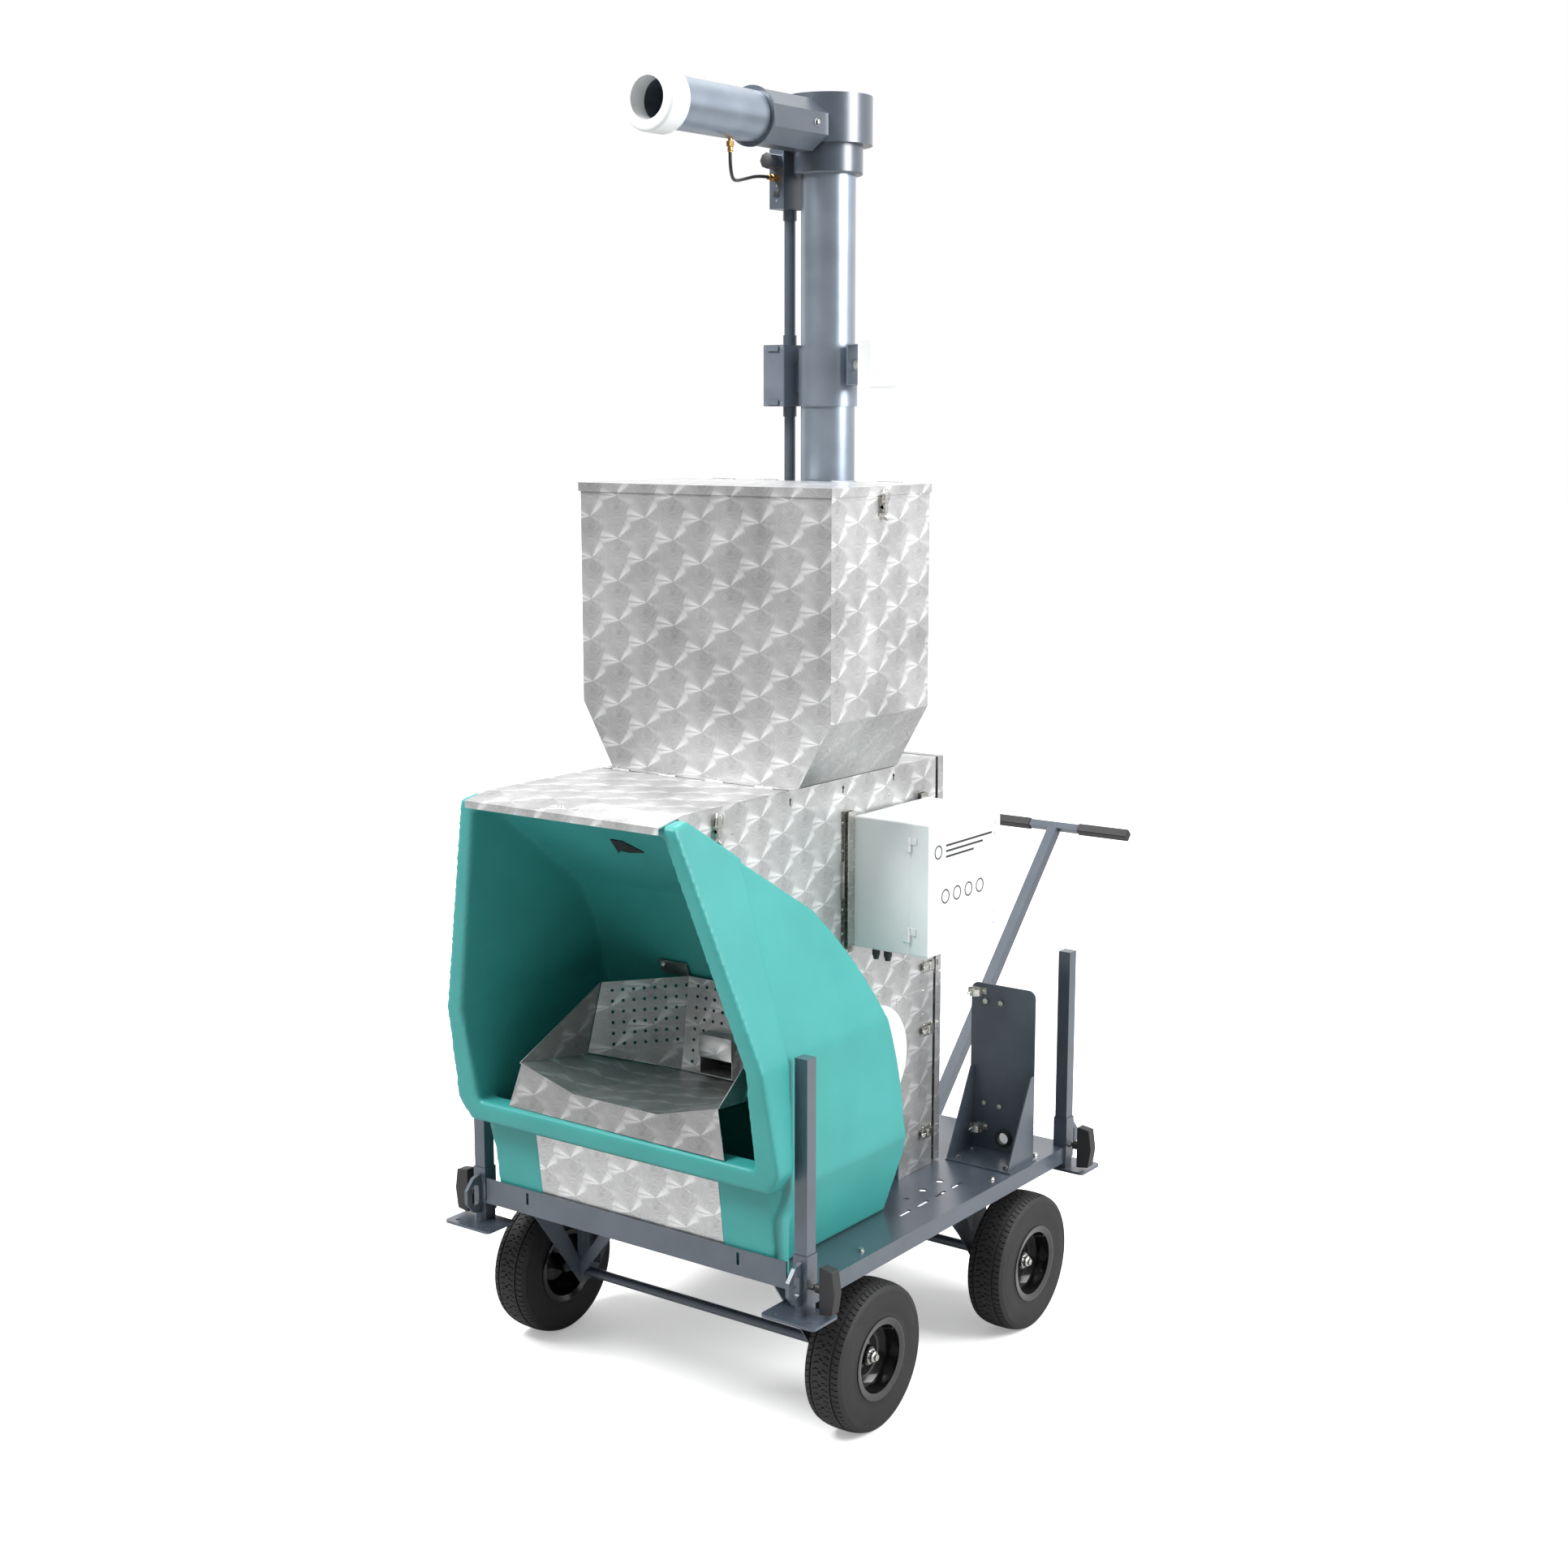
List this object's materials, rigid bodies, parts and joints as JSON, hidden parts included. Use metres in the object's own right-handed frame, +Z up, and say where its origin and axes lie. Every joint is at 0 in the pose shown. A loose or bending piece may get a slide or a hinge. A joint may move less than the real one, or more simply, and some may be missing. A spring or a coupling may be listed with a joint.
{
  "type": "mobile livestock feeding and breath-sampling station",
  "caption": "Wheeled feeding station: stainless feed hopper over a teal moulded head hood and pan, tall air stack with forward arm, side control cabinet, corner stands and tow handle.",
  "frame": {"origin": "on the ground plane, on the left-right symmetry plane of the cart, under the middle of its overall length (334.6 mm behind the mid-point between the axles)", "axes": "+X towards the control cabinet side, -Y towards the feeding end, +Z up"},
  "size_m": [1.374, 2.6852, 3.691],
  "materials": {
    "painted_steel": "satin blue-grey paint on steel",
    "painted_steel_light": "pale blue-grey metallic paint on the stack tubes",
    "dark_painted_box": "dark grey paint",
    "swirled_stainless": "engine-turned stainless sheet",
    "dark_stainless": "plain stainless sheet, brushed",
    "teal_moulding": "rotationally moulded teal plastic",
    "white_plastic": "smooth white plastic",
    "light_grey_plastic": "light grey plastic",
    "black_plastic": "black moulded plastic",
    "black_hose": "black flexible tube",
    "tyre_rubber": "moulded tread rubber",
    "gloss_black_rim": "gloss black paint on pressed steel",
    "zinc_steel": "zinc-plated steel",
    "brass": "machined brass"
  },
  "bodies": {
    "cart": {"deck_plate": "painted_steel", "leg_sleeves": "painted_steel", "clamp_nuts": "zinc_steel", "deck_bolts": "zinc_steel", "front_trusses": "painted_steel", "front_axle": "painted_steel", "hood_shell": "teal_moulding", "hood_front_panel": "swirled_stainless", "tower_shell": "swirled_stainless", "side_fan_cover": "white_plastic", "hopper_shell": "swirled_stainless", "feed_pan": "dark_stainless", "pan_liner": "dark_stainless", "feed_chute": "dark_stainless", "stack_pipe": "painted_steel_light", "stack_coupling": "painted_steel_light", "stack_cap": "painted_steel", "arm_collar": "painted_steel", "arm_tube": "painted_steel_light", "arm_mouth": "white_plastic", "sensor_box": "painted_steel", "brass_fittings": "brass", "hose": "black_hose", "conduit": "painted_steel", "junction_box": "dark_painted_box", "antenna_panel": "white_plastic", "control_box": "light_grey_plastic", "box_frame": "zinc_steel", "bottle_bracket": "painted_steel", "bracket_clamps": "zinc_steel", "fan_housing": "light_grey_plastic", "latches": "zinc_steel"},
    "lid": {"hopper_lid": "swirled_stainless"},
    "cover": {"hood_cover": "swirled_stainless"},
    "upper_door": {"upper_rear_door": "swirled_stainless"},
    "lower_door": {"lower_rear_door": "swirled_stainless"},
    "cabinet_door": {"box_door": "white_plastic"},
    "levers": {"latch_levers": "zinc_steel"},
    "steer": {"steer_frame": "painted_steel", "rear_axle": "painted_steel"},
    "handle": {"tow_handle": "painted_steel", "handle_grips": "black_plastic"},
    "drum": {"feed_drum": "light_grey_plastic"},
    "impeller": {"fan_impeller": "black_plastic"},
    "wheel_front_left": {"tyre_front_left": "tyre_rubber", "rim_front_left": "gloss_black_rim"},
    "stand_front_left": {"leg_front_left": "painted_steel"},
    "screw_front_left": {"clamp_knob_front_left": "black_plastic"},
    "wheel_front_right": {"tyre_front_right": "tyre_rubber", "rim_front_right": "gloss_black_rim"},
    "stand_front_right": {"leg_front_right": "painted_steel"},
    "screw_front_right": {"clamp_knob_front_right": "black_plastic"},
    "wheel_rear_left": {"tyre_rear_left": "tyre_rubber", "rim_rear_left": "gloss_black_rim"},
    "stand_rear_left": {"leg_rear_left": "painted_steel"},
    "screw_rear_left": {"clamp_knob_rear_left": "black_plastic"},
    "wheel_rear_right": {"tyre_rear_right": "tyre_rubber", "rim_rear_right": "gloss_black_rim"},
    "stand_rear_right": {"leg_rear_right": "painted_steel"},
    "screw_rear_right": {"clamp_knob_rear_right": "black_plastic"}
  },
  "joints": [
    {"name": "lid_hinge", "type": "hinge", "parent": "cart", "child": "lid", "pos_m": [0, -0.23963, 2.59], "axis": [-1, 0, 0], "range_deg": [0, 90]},
    {"name": "cover_hinge", "type": "hinge", "parent": "cart", "child": "cover", "pos_m": [0, -0.78563, 1.778], "axis": [-1, 0, 0], "range_deg": [0, 85]},
    {"name": "upper_door_hinge", "type": "hinge", "parent": "cart", "child": "upper_door", "pos_m": [-0.343, -0.02463, 1.444], "axis": [0, 0, 1], "range_deg": [0, 110]},
    {"name": "lower_door_hinge", "type": "hinge", "parent": "cart", "child": "lower_door", "pos_m": [-0.343, -0.02463, 0.81], "axis": [0, 0, 1], "range_deg": [0, 110]},
    {"name": "cabinet_door_hinge", "type": "hinge", "parent": "cart", "child": "cabinet_door", "pos_m": [0.5383, -0.49063, 1.4765], "axis": [0, 0, -1], "range_deg": [0, 110]},
    {"name": "latch_lever_pivot", "type": "hinge", "parent": "cart", "child": "levers", "pos_m": [0.344, -0.04963, 0.943], "axis": [0, 0, 1], "range_deg": [0, 120]},
    {"name": "steering", "type": "hinge", "parent": "cart", "child": "steer", "pos_m": [0, 0.09107, 0.48], "axis": [0, 0, 1], "range_deg": [-25, 25]},
    {"name": "handle_pivot", "type": "hinge", "parent": "steer", "child": "handle", "pos_m": [0, 0.29737, 0.212], "axis": [1, 0, 0], "range_deg": [-52, 10]},
    {"name": "drum_spin", "type": "hinge", "parent": "cart", "child": "drum", "pos_m": [0, -0.44663, 1.55], "axis": [1, 0, 0], "continuous": true},
    {"name": "impeller_spin", "type": "hinge", "parent": "cart", "child": "impeller", "pos_m": [0.2, -0.34963, 0.93], "axis": [1, 0, 0], "continuous": true},
    {"name": "wheel_front_left_spin", "type": "hinge", "parent": "cart", "child": "wheel_front_left", "pos_m": [-0.5755, -0.76033, 0.2117], "axis": [1, 0, 0], "continuous": true},
    {"name": "stand_front_left_slide", "type": "slide", "parent": "cart", "child": "stand_front_left", "axis": [0, 0, 1], "range_m": [-0.429, 0.005]},
    {"name": "screw_front_left_turn", "type": "hinge", "parent": "cart", "child": "screw_front_left", "pos_m": [-0.63, -1.04663, 0.513], "axis": [1, 0, 0], "continuous": true},
    {"name": "wheel_front_right_spin", "type": "hinge", "parent": "cart", "child": "wheel_front_right", "pos_m": [0.5755, -0.76033, 0.2117], "axis": [1, 0, 0], "continuous": true},
    {"name": "stand_front_right_slide", "type": "slide", "parent": "cart", "child": "stand_front_right", "axis": [0, 0, 1], "range_m": [-0.429, 0.005]},
    {"name": "screw_front_right_turn", "type": "hinge", "parent": "cart", "child": "screw_front_right", "pos_m": [0.63, -1.04663, 0.513], "axis": [1, 0, 0], "continuous": true},
    {"name": "wheel_rear_left_spin", "type": "hinge", "parent": "steer", "child": "wheel_rear_left", "pos_m": [-0.5755, 0.09107, 0.2117], "axis": [1, 0, 0], "continuous": true},
    {"name": "stand_rear_left_slide", "type": "slide", "parent": "cart", "child": "stand_rear_left", "axis": [0, 0, -1], "range_m": [-0.005, 0.429]},
    {"name": "screw_rear_left_turn", "type": "hinge", "parent": "cart", "child": "screw_rear_left", "pos_m": [-0.63, 0.36137, 0.513], "axis": [1, 0, 0], "continuous": true},
    {"name": "wheel_rear_right_spin", "type": "hinge", "parent": "steer", "child": "wheel_rear_right", "pos_m": [0.5755, 0.09107, 0.2117], "axis": [1, 0, 0], "continuous": true},
    {"name": "stand_rear_right_slide", "type": "slide", "parent": "cart", "child": "stand_rear_right", "axis": [0, 0, 1], "range_m": [-0.429, 0.005]},
    {"name": "screw_rear_right_turn", "type": "hinge", "parent": "cart", "child": "screw_rear_right", "pos_m": [0.63, 0.36137, 0.513], "axis": [1, 0, 0], "continuous": true}
  ]
}
